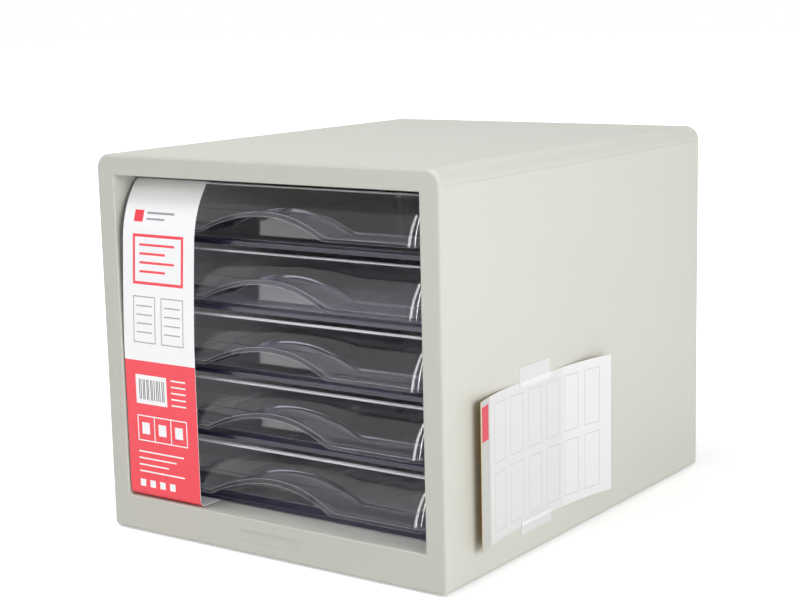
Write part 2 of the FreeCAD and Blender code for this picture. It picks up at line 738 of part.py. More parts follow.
def make_drawer_cavity():
    """The space inside the drawer, open at the top."""
    sketch = free_sketch("cavity_profile", SIDE_VIEW)
    wall = "sizes.drawer_wall"
    rear = from_nose(f"sizes.drawer_depth - {wall}")
    riser = from_nose(f"sizes.mouth_depth + {wall}")
    shelf = f"(sizes.mouth_height + {wall})"
    open_top = "sizes.drawer_height"
    outline(sketch, [
        (riser, wall),
        (rear, wall),
        (rear, open_top),
        (from_nose(visor_y(open_top, wall)), open_top, f"(sizes.visor_radius - {wall})"),
        (from_nose(visor_y(shelf, wall)), shelf),
        (riser, shelf),
    ])
    block = extrusion("drawer_cavity", sketch, f"(sizes.drawer_width - 2 * {wall})")
    box = block.Shape.BoundBox
    lip = value(from_nose("sizes.visor_setback + sizes.drawer_wall"))
    shelf_height = value(shelf) + TOUCH

    def at_front(middle):
        return on_plane(abs(middle.x), box.XMax) and middle.y < lip and middle.z > shelf_height

    def at_rear(middle):
        return on_plane(abs(middle.x), box.XMax) and on_plane(middle.y, box.YMax)

    inner = value(f"(sizes.plan_radius - {wall})")
    block = rounded("cavity_front_corners", block, at_front, inner)
    return rounded("cavity_rear_corners", block, at_rear, value(f"(sizes.rear_radius - {wall})"))


def arch_profile(name, inset, low):
    """The finger pocket's arch seen from the front, grown by inset, with a flat foot at low."""
    radius = "((sizes.arch_half_width ^ 2 + sizes.arch_rise ^ 2) / (2 * sizes.arch_rise))"
    centre = f"(sizes.mouth_height + sizes.arch_rise - {radius})"
    spring = f"(sizes.mouth_height + {inset} / 2)"
    grown = f"({radius} + {inset})"
    half = f"sqrt({grown} ^ 2 - ({spring} - {centre}) ^ 2)"
    sketch = free_sketch(name, FRONT_VIEW, "y", NOSE)
    outline(sketch, [
        (f"-{half}", low),
        (half, low),
        (half, spring, grown),
        (f"-{half}", spring),
    ])
    return sketch


def fused(name, shapes):
    solid = doc.addObject("Part::MultiFuse", name)
    solid.Shapes = shapes
    solid.Refine = True
    doc.recompute()
    return solid


def make_mouth():
    """The slot under the shelf, behind the upturned lip and between the side walls."""
    sketch = free_sketch("mouth_profile", SIDE_VIEW)
    ahead = from_nose("sizes.visor_setback / 2")
    lip_back = from_nose("sizes.visor_setback + sizes.lip_thickness")
    riser = from_nose("sizes.mouth_depth")
    outline(sketch, [
        (ahead, "sizes.lip_height"),
        (lip_back, "sizes.lip_height"),
        (lip_back, "sizes.drawer_wall"),
        (riser, "sizes.drawer_wall"),
        (riser, "sizes.mouth_height"),
        (ahead, "sizes.mouth_height"),
    ])
    return extrusion("drawer_mouth", sketch, "(sizes.drawer_width - 2 * sizes.drawer_wall)")


def make_ears():
    """Ramped ears at the rear of each side, which meet the runner panels' stops."""
    rear = from_nose("sizes.drawer_depth - sizes.rear_radius")
    front = from_nose("sizes.drawer_depth - sizes.ear_length")
    buried = "(sizes.drawer_width / 2 - sizes.drawer_wall / 2)"
    reach = "(sizes.drawer_width / 2 + sizes.ear_reach)"
    ears = []
    for name, side in (("right_ear", ""), ("left_ear", "-")):
        sketch = free_sketch(f"{name}_plan", (0, 0, 0), "z", "sizes.ear_lift")
        outline(sketch, [
            (f"{side}{buried}", front),
            (f"{side}{reach}", front),
            (f"{side}{reach}", f"({rear} - sizes.ear_ramp)"),
            (f"{side}{buried}", rear),
        ])
        ears.append(extrusion(name, sketch, "sizes.ear_height", symmetric=False))
    return ears


def make_drawer():
    wall = "sizes.drawer_wall"
    block = make_drawer_block()
    cavity = make_drawer_cavity()
    foot = f"(sizes.mouth_height + {wall} / 4)"
    thick = arch_profile("arch_shell_profile", wall, foot)
    shell = extrusion("arch_shell", thick, f"-(sizes.mouth_depth + {wall})", symmetric=False)
    hollow = combine("Cut", "cavity_round_arch", cavity, shell)
    tray = combine("Cut", "open_tray", block, hollow)
    tray = fused("tray_with_ears", [tray] + make_ears())

    arch = arch_profile("arch_profile", "0", "(sizes.mouth_height / 2)")
    vault = extrusion("arch_vault", arch, "-sizes.mouth_depth", symmetric=False)
    tray = combine("Cut", "tray_with_mouth", tray, make_mouth())
    return combine("Cut", "drawer_tray", tray, vault)


def placed_copy(name, source, height):
    """The same piece at another height. Its name becomes the file's name."""
    copy = doc.addObject("Part::Compound", name)
    copy.Links = [source]
    copy.Label = name
    copy.setExpression("Placement.Base.z", height)
    return copy


# ---------------------------------------------------------------- feet and screws

def corner_places(x, y):
    return [(f"{across}{x}", f"{along}{y}") for across in ("", "-") for along in ("", "-")]


def disc(name, place, diameter, low, thickness):
    """An upright cylinder, its axis at a place given by two expressions."""
    solid = doc.addObject("Part::Cylinder", name)
    solid.setExpression("Radius", f"({diameter}) / 2")
    solid.setExpression("Height", thickness)
    solid.setExpression("Placement.Base.x", place[0])
    solid.setExpression("Placement.Base.y", place[1])
    solid.setExpression("Placement.Base.z", low)
    return solid


def grouped(name, solids):
    group = doc.addObject("Part::Compound", name)
    group.Links = solids
    group.Label = name
    doc.recompute()
    return group


def make_feet():
    low = "(sizes.foot_recess - sizes.foot_thickness)"
    pads = []
    for number, place in enumerate(corner_places(FOOT_X, FOOT_Y), start=1):
        pads.append(disc(f"foot_{number}", place, size("foot_diameter"), low, size("foot_thickness")))
    return grouped("rubber_feet", pads)


def make_screws():
    """Pan-head screws driven up through the flanges into the base panel's bosses."""
    screws = []
    head_low = "(sizes.screw_recess - sizes.screw_head_height)"
    for number, place in enumerate(corner_places(SCREW_X, SCREW_Y), start=1):
        head = disc(f"head_{number}", place, size("screw_head"), head_low, size("screw_head_height"))
        shank_low = "(sizes.screw_recess - sizes.screw_head_height / 2)"
        length = "(sizes.screw_length + sizes.screw_head_height / 2)"
        shank = disc(f"shank_{number}", place, size("screw_diameter"), shank_low, length)
        screws.append(fused(f"screw_{number}", [head, shank]))
    return grouped("base_screws", screws)


# ---------------------------------------------------------------- paper band, card and tapes

BAND_BACK = f"({NOSE} - sizes.paper_gap)"
BAND_FRONT = f"({BAND_BACK} - sizes.paper_thickness)"
BAND_LEFT = "(sizes.band_inset - sizes.drawer_width / 2)"


def drawer_bottom(number):
    """Height of a drawer's underside, drawer 1 being the top one."""
    return f"({LOWEST_DRAWER} + {DRAWERS - number} * {PITCH})"


def band_section(number):
    """The band's strip in front of one drawer, seen from the side."""
    base = drawer_bottom(number)
    low = f"({base} - sizes.drawer_gap / 2 + sizes.band_cut / 2)"
    high = f"({base} + {PITCH} - sizes.drawer_gap / 2 - sizes.band_cut / 2)"
    if number == 1:
        return curled_section(low, base)
    if number == DRAWERS:
        return folded_section(high)
    return [(BAND_BACK, low), (BAND_BACK, high), (BAND_FRONT, high), (BAND_FRONT, low)]


def curled_section(low, base):
    """The top strip curls back over the first drawer and lies on its hem."""
    start = f"({base} + sizes.mouth_height + sizes.band_curl / 2)"
    under = f"({base} + sizes.drawer_height + sizes.paper_gap)"
    over = f"({under} + sizes.paper_thickness)"
    hem = f"({NOSE} + sizes.visor_setback - sizes.paper_gap * 4)"
    run = f"({hem} - {BAND_BACK})"
    climb = f"({under} - {start})"
    radius = f"(({run} ^ 2 + {climb} ^ 2) / (2 * {run}))"
    outer = f"({hem} - {BAND_FRONT})"
    outer_climb = f"({over} - {start})"
    outer_radius = f"(({outer} ^ 2 + {outer_climb} ^ 2) / (2 * {outer}))"
    tail = f"({hem} + sizes.band_tail)"
    return [
        (BAND_FRONT, low),
        (BAND_BACK, low),
        (BAND_BACK, start, f"-{radius}"),
        (hem, under),
        (tail, under),
        (tail, over),
        (hem, over, outer_radius),
        (BAND_FRONT, start),
    ]


def folded_section(high):
    """The bottom strip folds back under the lowest drawer."""
    low = "(sizes.bottom_bar + (sizes.sill_gap - sizes.paper_thickness) / 2)"
    over = f"({low} + sizes.paper_thickness)"
    tail = f"({BAND_BACK} + sizes.band_fold)"
    return [
        (BAND_FRONT, low),
        (tail, low),
        (tail, over),
        (BAND_BACK, over),
        (BAND_BACK, high),
        (BAND_FRONT, high),
    ]


def make_band_strip(number):
    name = f"front_band_{number}"
    sketch = free_sketch(f"{name}_section", SIDE_VIEW, "x", BAND_LEFT)
    outline(sketch, band_section(number))
    strip = extrusion(name, sketch, "sizes.band_width", symmetric=False)
    strip.Label = name
    return strip


def from_front(place):
    return f"({FRONT} + {place})"


def make_card_sheet():
    """A card sheet held flat under its tapes, with both ends curling off the wall."""
    wall = HALF_WIDTH
    face = f"({wall} + sizes.paper_thickness)"
    flat_start = from_front("sizes.tape_front")
    flat_end = from_front("(sizes.tape_front + sizes.tape_length)")
    front = from_front("sizes.card_front")
    rear = from_front("(sizes.card_front + sizes.card_length)")
    front_run = f"({flat_start} - {front})"
    rear_run = f"({rear} - {flat_end})"
    front_radius = f"(({front_run} ^ 2 + sizes.card_front_curl ^ 2) / (2 * sizes.card_front_curl))"
    rear_radius = f"(({rear_run} ^ 2 + sizes.card_rear_curl ^ 2) / (2 * sizes.card_rear_curl))"
    sketch = free_sketch("card_plan", (0, 0, 0), "z", "sizes.card_bottom")
    outline(sketch, [
        (f"({wall} + sizes.card_front_curl)", front),
        (f"({face} + sizes.card_front_curl)", front, front_radius),
        (face, flat_start),
        (face, flat_end, rear_radius),
        (f"({face} + sizes.card_rear_curl)", rear),
        (f"({wall} + sizes.card_rear_curl)", rear, f"-{rear_radius}"),
        (wall, flat_end),
        (wall, flat_start, f"-{front_radius}"),
    ])
    card = extrusion("title_card_sheet", sketch, "sizes.card_height", symmetric=False)
    card.Label = "title_card_sheet"
    return card


def make_tape(name, edge, towards, height):
    """A strip half on the card and half on the wall, stepping down at the card's edge."""
    wall = HALF_WIDTH
    on_card = f"({wall} + sizes.paper_thickness)"
    beyond = f"({edge} {towards} sizes.paper_thickness)"
    inside = f"({edge} {'-' if towards == '+' else '+'} sizes.tape_lap)"
    outside = f"({inside} {towards} {height})"
    thick = "sizes.tape_thickness"
    sketch = free_sketch(f"{name}_section", FRONT_VIEW, "y", from_front("sizes.tape_front"))
    outline(sketch, [
        (on_card, inside),
        (f"({on_card} + {thick})", inside),
        (f"({on_card} + {thick})", edge),
        (f"({wall} + {thick})", beyond),
        (f"({wall} + {thick})", outside),
        (wall, outside),
        (wall, beyond),
        (on_card, edge),
    ])
    tape = extrusion(name, sketch, "-sizes.tape_length", symmetric=False)
    tape.Label = name
    return tape


# ---------------------------------------------------------------- the whole part

def make_parts():
    parts = [make_front_frame(), make_back_panel(), make_top_cover()]
    side = make_right_side_panel()
    runner = make_right_runner_panel()
    parts += [side, mirrored_part(side, "left_side_panel")]
    parts += [runner, mirrored_part(runner, "left_runner_panel")]
    parts += [make_base_panel(), make_feet(), make_screws()]
    tray = make_drawer()
    for number in range(1, DRAWERS + 1):
        parts.append(placed_copy(f"drawer_{number}", tray, drawer_bottom(number)))
        parts.append(make_band_strip(number))
    card_top = "(sizes.card_bottom + sizes.card_height)"
    parts.append(make_card_sheet())
    parts.append(make_tape("tape_upper", card_top, "+", "sizes.tape_height"))
    parts.append(make_tape("tape_lower", "sizes.card_bottom", "-", "sizes.lower_tape_height"))
    doc.recompute()
    return parts


def check_document():
    for item in doc.Objects:
        if "Invalid" in item.State or "Error" in item.State:
            raise RuntimeError(f"{item.Label} failed: {item.State}")


def export(parts):
    os.makedirs("parts", exist_ok=True)
    for part in parts:
        shape = part.Shape
        if shape.isNull() or not shape.isValid() or not shape.Solids:
            raise RuntimeError(f"{part.Label} has no valid shape")
        shape.exportStep(f"parts/{part.Label}.step")
        print(part.Label, len(shape.Solids), round(shape.Volume, 1))


fill_sheet()
all_parts = make_parts()
check_document()
export(all_parts)
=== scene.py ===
import math

import bmesh
import bpy
from mathutils import Matrix, Vector


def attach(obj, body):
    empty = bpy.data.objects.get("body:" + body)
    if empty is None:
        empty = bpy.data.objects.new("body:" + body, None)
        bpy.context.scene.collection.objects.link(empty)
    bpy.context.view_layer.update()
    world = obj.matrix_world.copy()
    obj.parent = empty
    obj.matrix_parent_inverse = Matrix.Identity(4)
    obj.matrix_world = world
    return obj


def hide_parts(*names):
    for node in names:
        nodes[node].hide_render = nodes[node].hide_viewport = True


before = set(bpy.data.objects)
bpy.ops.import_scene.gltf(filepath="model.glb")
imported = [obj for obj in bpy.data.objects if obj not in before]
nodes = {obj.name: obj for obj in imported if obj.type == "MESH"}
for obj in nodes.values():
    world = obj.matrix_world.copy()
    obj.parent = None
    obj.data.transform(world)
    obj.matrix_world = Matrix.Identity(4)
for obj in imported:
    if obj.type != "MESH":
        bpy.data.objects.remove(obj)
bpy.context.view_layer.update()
mm = 0.001
print("frame loaded:", len(nodes), "nodes")

drawerNames = [f"drawer_{i}" for i in range(1, 6)]         # 1 is the top one
bandNames = [f"front_band_{i}" for i in range(1, 6)]
casingNames = ["front_frame", "back_panel", "top_cover", "right_side_panel", "left_side_panel",
               "right_runner_panel", "left_runner_panel", "base_panel"]


def hexColour(text, alpha=1.0):
    # sRGB hex to the linear values that shaders take
    parts = [int(text[i:i + 2], 16) / 255 for i in (1, 3, 5)]
    linear = [c / 12.92 if c <= 0.04045 else ((c + 0.055) / 1.055) ** 2.4 for c in parts]
    return (*linear, alpha)


def addNode(tree, kind, inputs=None, **settings):
    # an input is given as a socket, as a node whose first output is meant, or as a plain value
    node = tree.nodes.new(kind)
    for name, setting in settings.items():
        setattr(node, name, setting)
    for key, given in (inputs or {}).items():
        if isinstance(given, bpy.types.Node):
            given = given.outputs[0]
        if isinstance(given, bpy.types.NodeSocket):
            tree.links.new(given, node.inputs[key])
        else:
            node.inputs[key].default_value = given
    return node


def newMaterial(name):
    material = bpy.data.materials.new(name)
    material.use_nodes = True
    tree = material.node_tree
    tree.nodes.clear()
    return material, tree, addNode(tree, "ShaderNodeTexCoord").outputs["Object"]


def addPiece(name, bm):
    mesh = bpy.data.meshes.new(name)
    bm.to_mesh(mesh)
    bm.free()
    piece = bpy.data.objects.new(name, mesh)
    bpy.context.scene.collection.objects.link(piece)
    return piece


plastic = {
    "colour": "#c4c5bd",
    "shade": "#c1c1b8",      # the slow drift of tone over a large moulding
    "driftSize": 140.0,      # mm from one patch to the next
    "grainSize": 0.55,       # mm, real mould grain is finer and wouldn't show
    "grainDepth": 0.02,      # mm
    "grainStrength": 0.35,
    "smoothest": 0.41, "roughest": 0.52,
    "ior": 1.57,
    "specular": 0.3,         # the grain dulls the mirror part
    "edgeRadius": 0.2,       # mm, every moulded edge is slightly soft
}


def makeCasingPlastic():
    # injection-moulded polystyrene, warm light grey: a soft satin with a fine even grain
    material, tree, place = newMaterial("moulded_polystyrene_warm_grey")
    drift = addNode(tree, "ShaderNodeTexNoise", {
        "Vector": place, "Scale": 1 / (plastic["driftSize"] * mm), "Detail": 2.0})
    tone = addNode(tree, "ShaderNodeMix", {
        "Factor": drift, "A": hexColour(plastic["colour"]), "B": hexColour(plastic["shade"])},
        data_type="RGBA")
    grain = addNode(tree, "ShaderNodeTexNoise", {
        "Vector": place, "Scale": 1 / (plastic["grainSize"] * mm),
        "Detail": 3.0, "Roughness": 0.6})
    soft = addNode(tree, "ShaderNodeBevel", {"Radius": plastic["edgeRadius"] * mm}, samples=6)
    bump = addNode(tree, "ShaderNodeBump", {
        "Height": grain, "Normal": soft,
        "Strength": plastic["grainStrength"], "Distance": plastic["grainDepth"] * mm})
    gloss = addNode(tree, "ShaderNodeMapRange", {
        "Value": grain, "To Min": plastic["smoothest"], "To Max": plastic["roughest"]})
    shader = addNode(tree, "ShaderNodeBsdfPrincipled", {
        "Base Color": tone.outputs["Result"], "Roughness": gloss, "IOR": plastic["ior"],
        "Specular IOR Level": plastic["specular"], "Normal": bump})
    addNode(tree, "ShaderNodeOutputMaterial", {"Surface": shader})
    return material


smoked = {
    "absorb": "#8080a8",     # what a wall leaves of the light, a cold grey
    "density": 42.0,         # per metre
    "ior": 1.59,
    "roughness": 0.03,
    "flowSize": 30.0,        # mm, the slow waviness of a polished moulding
    "flowStrength": 0.1, "flowDepth": 0.05,              # depth in mm
    "edgeRadius": 0.55,      # mm, how far in from an edge the painted edge highlight reaches
    "edgeFrom": 0.985, "edgeFull": 0.85,                 # softened normal along the face's own, where the painted edge highlight starts and where it is full
    "edgeGlow": "#c6c6d4",   # painted highlight: the edges are painted pale
    "hemGlow": "#fafafe",    # painted highlight: the top edge of a front is painted palest
    "lipGlow": "#20203a",    # painted shade: the low lip and the mouth's floor are painted dark
    "paintedLightRoughness": 0.3,
    "vaultTint": "#dadade",  # the thin roof of the finger mouth, nearly clear
    "edgeShare": 0.8, "hemShare": 0.92, "lipShare": 0.7, "vaultShare": 0.75,
    "lowest": 25.5, "pitch": 43.6,       # underside of the lowest drawer and step to the next, mm
    "hemLow": 39.3, "lipHigh": 3.3,      # heights over a drawer's underside, mm
    "vaultLow": 9.0, "vaultHigh": 24.9,
    "mouthBack": -138.0,                 # y of the mouth's rear wall, mm
    "levelFrom": 0.5,                    # z of a face's normal from which it counts as level
}


def drawerZones(tree, place, normal):
    # 0 or 1 on a drawer's top hem, on its lip and mouth floor, and on the roof of the mouth; the
    # hem takes a painted highlight and the lip a painted shade
    parts = addNode(tree, "ShaderNodeSeparateXYZ", {0: place})
    facing = addNode(tree, "ShaderNodeSeparateXYZ", {0: normal})
    above = addNode(tree, "ShaderNodeMath", {
        0: parts.outputs["Z"], 1: smoked["lowest"] * mm}, operation="SUBTRACT")
    height = addNode(tree, "ShaderNodeMath", {
        0: above, 1: smoked["pitch"] * mm}, operation="FLOORED_MODULO")
    level = addNode(tree, "ShaderNodeMath", {0: facing.outputs["Z"]}, operation="ABSOLUTE")
    forward = (parts.outputs["Y"], "LESS_THAN", smoked["mouthBack"] * mm)
    tests = {
        "hem": [(height, "GREATER_THAN", smoked["hemLow"] * mm)],
        "lip": [forward, (height, "LESS_THAN", smoked["lipHigh"] * mm)],
        "vault": [forward, (level, "GREATER_THAN", smoked["levelFrom"]),
                  (height, "GREATER_THAN", smoked["vaultLow"] * mm),
                  (height, "LESS_THAN", smoked["vaultHigh"] * mm)],
    }
    zones = {}
    for zone, conditions in tests.items():
        zones[zone] = 1.0
        for measure, test, limit in conditions:
            met = addNode(tree, "ShaderNodeMath", {0: measure, 1: limit}, operation=test)
            zones[zone] = addNode(tree, "ShaderNodeMath", {
                0: zones[zone], 1: met}, operation="MULTIPLY")
    return zones


def makeSmokedStyrene():
    # injection-moulded clear polystyrene with a smoke tint, polished and dark, with painted
    # highlights on its edges and top hems and painted shade on its low lips
    material, tree, place = newMaterial("smoked_clear_polystyrene")
    flow = addNode(tree, "ShaderNodeTexNoise", {
        "Vector": place, "Scale": 1 / (smoked["flowSize"] * mm), "Detail": 1.0})
    bump = addNode(tree, "ShaderNodeBump", {
        "Height": flow, "Strength": smoked["flowStrength"],
        "Distance": smoked["flowDepth"] * mm})
    shader = addNode(tree, "ShaderNodeBsdfPrincipled", {
        "Base Color": hexColour("#ffffff"), "Roughness": smoked["roughness"],
        "IOR": smoked["ior"], "Transmission Weight": 1.0, "Normal": bump})

    own = addNode(tree, "ShaderNodeNewGeometry").outputs["Normal"]
    soft = addNode(tree, "ShaderNodeBevel", {"Radius": smoked["edgeRadius"] * mm}, samples=6)
    along = addNode(tree, "ShaderNodeVectorMath", {0: soft, 1: own}, operation="DOT_PRODUCT")
    shares = {"edge": addNode(tree, "ShaderNodeMapRange", {
        "Value": along.outputs["Value"],
        "From Min": smoked["edgeFrom"], "From Max": smoked["edgeFull"],
        "To Min": 0.0, "To Max": smoked["edgeShare"]})}
    zones = drawerZones(tree, place, own)
    for zone, mask in zones.items():
        shares[zone] = addNode(tree, "ShaderNodeMath", {
            0: mask, 1: smoked[zone + "Share"]}, operation="MULTIPLY")

    looks = {"vault": addNode(tree, "ShaderNodeBsdfTransparent", {
        "Color": hexColour(smoked["vaultTint"])})}
    # opaque painted patches: a pale painted highlight for the edges and the hem, a dark painted
    # shade for the lip
    for zone in ("edge", "hem", "lip"):
        looks[zone] = addNode(tree, "ShaderNodeBsdfPrincipled", {
            "Base Color": hexColour(smoked[zone + "Glow"]),
            "Roughness": smoked["paintedLightRoughness"], "IOR": smoked["ior"]})
    # on the lip the edges take the painted shade instead of the painted highlight
    looks["edge"] = addNode(tree, "ShaderNodeMixShader", {
        0: zones["lip"], 1: looks["edge"], 2: looks["lip"]})
    for zone in ("vault", "lip", "edge", "hem"):
        shader = addNode(tree, "ShaderNodeMixShader", {
            0: shares[zone], 1: shader, 2: looks[zone]})

    # light passes the walls unbent, so that the trays inside are lit
    clear = addNode(tree, "ShaderNodeBsdfTransparent", {"Color": hexColour("#ffffff")})
    light = addNode(tree, "ShaderNodeLightPath")
    both = addNode(tree, "ShaderNodeMixShader", {
        0: light.outputs["Is Shadow Ray"], 1: shader, 2: clear})
    depth = addNode(tree, "ShaderNodeVolumeAbsorption", {
        "Color": hexColour(smoked["absorb"]), "Density": smoked["density"]})
    addNode(tree, "ShaderNodeOutputMaterial", {"Surface": both, "Volume": depth})
    return material


paper = {
    "fibreSize": 0.9,        # mm, real fibre is finer and wouldn't show
    "dimmest": 0.965,        # tone between the fibres
    "fibreStrength": 0.15, "fibreDepth": 0.02,           # depth in mm
    "ior": 1.5,
    "coatRoughness": 0.25,
    "bandInks": {"white": "#fcfcfe", "red_ink": "#f83849",
                 "grey_ink": "#9a9ca3", "black_ink": "#3a3a3f"},
    "bandRoughness": 0.35, "bandCoat": 0.25,
    "cardInks": {"white": "#dadada", "red_ink": "#cf4f5e",
                 "grey_ink": "#bcbcb8", "darker_front_field": "#d3d3d3"},
    "cardRoughness": 0.75,
    "kraft": "#c29a42", "kraftRoughness": 0.8,
}


def makePaper(name, colour, roughness, coat=0.0):
    # pressed paper: a dense fibre mottle that only shows as a faint unevenness
    material, tree, place = newMaterial(name)
    fibre = addNode(tree, "ShaderNodeTexNoise", {
        "Vector": place, "Scale": 1 / (paper["fibreSize"] * mm),
        "Detail": 4.0, "Roughness": 0.7})
    ramp = addNode(tree, "ShaderNodeMapRange", {
        "Value": fibre, "To Min": paper["dimmest"], "To Max": 1.0})
    tone = addNode(tree, "ShaderNodeMix", {
        "Factor": 1.0, "A": hexColour(colour), "B": ramp},
        data_type="RGBA", blend_type="MULTIPLY")
    bump = addNode(tree, "ShaderNodeBump", {
        "Height": fibre, "Strength": paper["fibreStrength"],
        "Distance": paper["fibreDepth"] * mm})
    shader = addNode(tree, "ShaderNodeBsdfPrincipled", {
        "Base Color": tone.outputs["Result"], "Roughness": roughness, "IOR": paper["ior"],
        "Coat Weight": coat, "Coat Roughness": paper["coatRoughness"], "Normal": bump})
    addNode(tree, "ShaderNodeOutputMaterial", {"Surface": shader})
    return material


tape = {
    "colour": "#f2f2f2", "alpha": 0.7, "roughness": 0.38, "ior": 1.47,
    "creaseSize": 7.0, "creaseStrength": 0.5, "creaseDepth": 0.25,       # sizes in mm
}


def makeTape():
    # matt acetate tape: milky and see-through, with faint creases
    material, tree, place = newMaterial("matt_acetate_tape")
    crease = addNode(tree, "ShaderNodeTexNoise", {
        "Vector": place, "Scale": 1 / (tape["creaseSize"] * mm), "Detail": 2.0})
    bump = addNode(tree, "ShaderNodeBump", {
        "Height": crease, "Strength": tape["creaseStrength"],
        "Distance": tape["creaseDepth"] * mm})
    shader = addNode(tree, "ShaderNodeBsdfPrincipled", {
        "Base Color": hexColour(tape["colour"]), "Roughness": tape["roughness"],
        "IOR": tape["ior"], "Alpha": tape["alpha"], "Normal": bump})
    addNode(tree, "ShaderNodeOutputMaterial", {"Surface": shader})
    return material


foot = {
    "colour": "#1b1b1b", "pitColour": "#2c2c2b", "roughness": 0.8, "ior": 1.52,
    "pitSize": 0.6, "pitStrength": 0.6, "pitDepth": 0.05,                # sizes in mm
}


def makeRubber():
    # moulded nitrile rubber: matt, near black, finely pitted
    material, tree, place = newMaterial("nitrile_rubber_black")
    pits = addNode(tree, "ShaderNodeTexNoise", {
        "Vector": place, "Scale": 1 / (foot["pitSize"] * mm), "Detail": 3.0})
    tone = addNode(tree, "ShaderNodeMix", {
        "Factor": pits, "A": hexColour(foot["colour"]), "B": hexColour(foot["pitColour"])},
        data_type="RGBA")
    bump = addNode(tree, "ShaderNodeBump", {
        "Height": pits, "Strength": foot["pitStrength"], "Distance": foot["pitDepth"] * mm})
    shader = addNode(tree, "ShaderNodeBsdfPrincipled", {
        "Base Color": tone.outputs["Result"], "Roughness": foot["roughness"],
        "IOR": foot["ior"], "Normal": bump})
    addNode(tree, "ShaderNodeOutputMaterial", {"Surface": shader})
    return material


screw = {
    "colour": "#b9bbbd",
    "mottleSize": 0.5,       # mm
    "smoothest": 0.22, "roughest": 0.42,
}


def makeZincSteel():
    # zinc-plated steel: bright and faintly blue, its gloss finely mottled
    material, tree, place = newMaterial("zinc_plated_steel")
    mottle = addNode(tree, "ShaderNodeTexNoise", {
        "Vector": place, "Scale": 1 / (screw["mottleSize"] * mm), "Detail": 2.0})
    gloss = addNode(tree, "ShaderNodeMapRange", {
        "Value": mottle, "To Min": screw["smoothest"], "To Max": screw["roughest"]})
    shader = addNode(tree, "ShaderNodeBsdfPrincipled", {
        "Base Color": hexColour(screw["colour"]), "Metallic": 1.0, "Roughness": gloss})
    addNode(tree, "ShaderNodeOutputMaterial", {"Surface": shader})
    return material


casingPlastic = makeCasingPlastic()
smokedStyrene = makeSmokedStyrene()
acetateTape = makeTape()
bandPapers = [makePaper(f"coated_paper_{ink}", colour, paper["bandRoughness"], paper["bandCoat"])
              for ink, colour in paper["bandInks"].items()]
cardPapers = [makePaper(f"uncoated_card_{ink}", colour, paper["cardRoughness"])
              for ink, colour in paper["cardInks"].items()]
cardPapers.append(makePaper("kraft_paper_back", paper["kraft"], paper["kraftRoughness"]))
print("materials made")

finishes = {
    **dict.fromkeys(casingNames, casingPlastic),
    **dict.fromkeys(drawerNames, smokedStyrene),
    "tape_upper": acetateTape, "tape_lower": acetateTape,
    "rubber_feet": makeRubber(), "base_screws": makeZincSteel(),
}
for name, material in finishes.items():
    nodes[name].data.materials.clear()
    nodes[name].data.materials.append(material)
print("solids dressed")


cover = {
    "rim": 247.7,            # mm, height of the cover's lower edge
    "reach": 0.06,           # mm, how near to it a vertex counts as on the rim
    "closeBy": 0.22,         # mm, so that the seam over the sides barely shows
    "weld": 0.001,           # mm, joins the loose triangles of the copy
}


def makeCover():
    source = nodes["top_cover"].data
    normals = [Vector(corner.vector) for corner in source.corner_normals]
    bm = bmesh.new()
    bm.from_mesh(source)
    bmesh.ops.remove_doubles(bm, verts=bm.verts, dist=cover["weld"] * mm)
    rim = [vert for vert in bm.verts
           if abs(vert.co.z - cover["rim"] * mm) < cover["reach"] * mm]
    bmesh.ops.translate(bm, verts=rim, vec=(0, 0, -cover["closeBy"] * mm))
    piece = addPiece("cover", bm)
    piece.data.normals_split_custom_set(normals)
    piece.data.materials.append(casingPlastic)
    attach(piece, "casing")
    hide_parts("top_cover")


makeCover()
print("cover made")


sheetCutting = {
    "decimals": 4,           # of a cut's place in mm
    "reach": 1e-6,           # mm, how near a vertex counts as on the cut
    "sharpAngle": 0.8,       # radians
}


def cutGrid(bm, width, length, acrossCuts, alongCuts):
    # a flat sheet in the XY plane, from the origin, cut at the given places
    bmesh.ops.create_grid(bm, x_segments=1, y_segments=1, size=0.5)
    bmesh.ops.translate(bm, verts=bm.verts, vec=(0.5, 0.5, 0))
    bmesh.ops.scale(bm, verts=bm.verts, vec=(width, length, 1))
    for cuts, normal in ((acrossCuts, Vector((1, 0, 0))), (alongCuts, Vector((0, 1, 0)))):
        for cut in sorted(set(round(c, sheetCutting["decimals"]) for c in cuts)):
            bmesh.ops.bisect_plane(bm, geom=bm.verts[:] + bm.edges[:] + bm.faces[:],
                                   dist=sheetCutting["reach"],
                                   plane_co=normal * cut, plane_no=normal)


def frameMotif(left, low, right, high, line, ink):
    # an outlined box as four bars
    return [(left, low, right, low + line, ink), (left, high - line, right, high, ink),
            (left, low, left + line, high, ink), (right - line, low, right, high, ink)]


def printedSheet(name, width, start, end, motifs, place, inks, thickness, step, back=0):
    # a sheet from start to end along its run, printed, bent by place() and given its thickness
    bm = bmesh.new()
    across = [x for motif in motifs for x in (motif[0], motif[2]) if 0 < x < width]
    along = [y - start for motif in motifs for y in (motif[1], motif[3]) if start < y < end]
    count = max(1, round((end - start) / step))
    along += [(end - start) * i / count for i in range(1, count)]
    cutGrid(bm, width, end - start, across, along)
    for face in bm.faces:
        middle = face.calc_center_median()
        for left, low, right, high, ink in motifs:
            if left < middle.x < right and low < middle.y + start < high:
                face.material_index = ink
    front = list(bm.faces)
    for vert in bm.verts:
        vert.co = place(vert.co.x, vert.co.y + start)
    bmesh.ops.recalc_face_normals(bm, faces=bm.faces)
    bmesh.ops.solidify(bm, geom=front, thickness=thickness)
    printed = set(front)
    for face in bm.faces:
        face.smooth = True
        if face not in printed:
            face.material_index = back
    for edge in bm.edges:
        edge.smooth = edge.calc_face_angle(0.0) < sheetCutting["sharpAngle"]
    bmesh.ops.scale(bm, verts=bm.verts, vec=(mm, mm, mm))
    piece = addPiece(name, bm)
    for ink in inks:
        piece.data.materials.append(ink)
    return piece


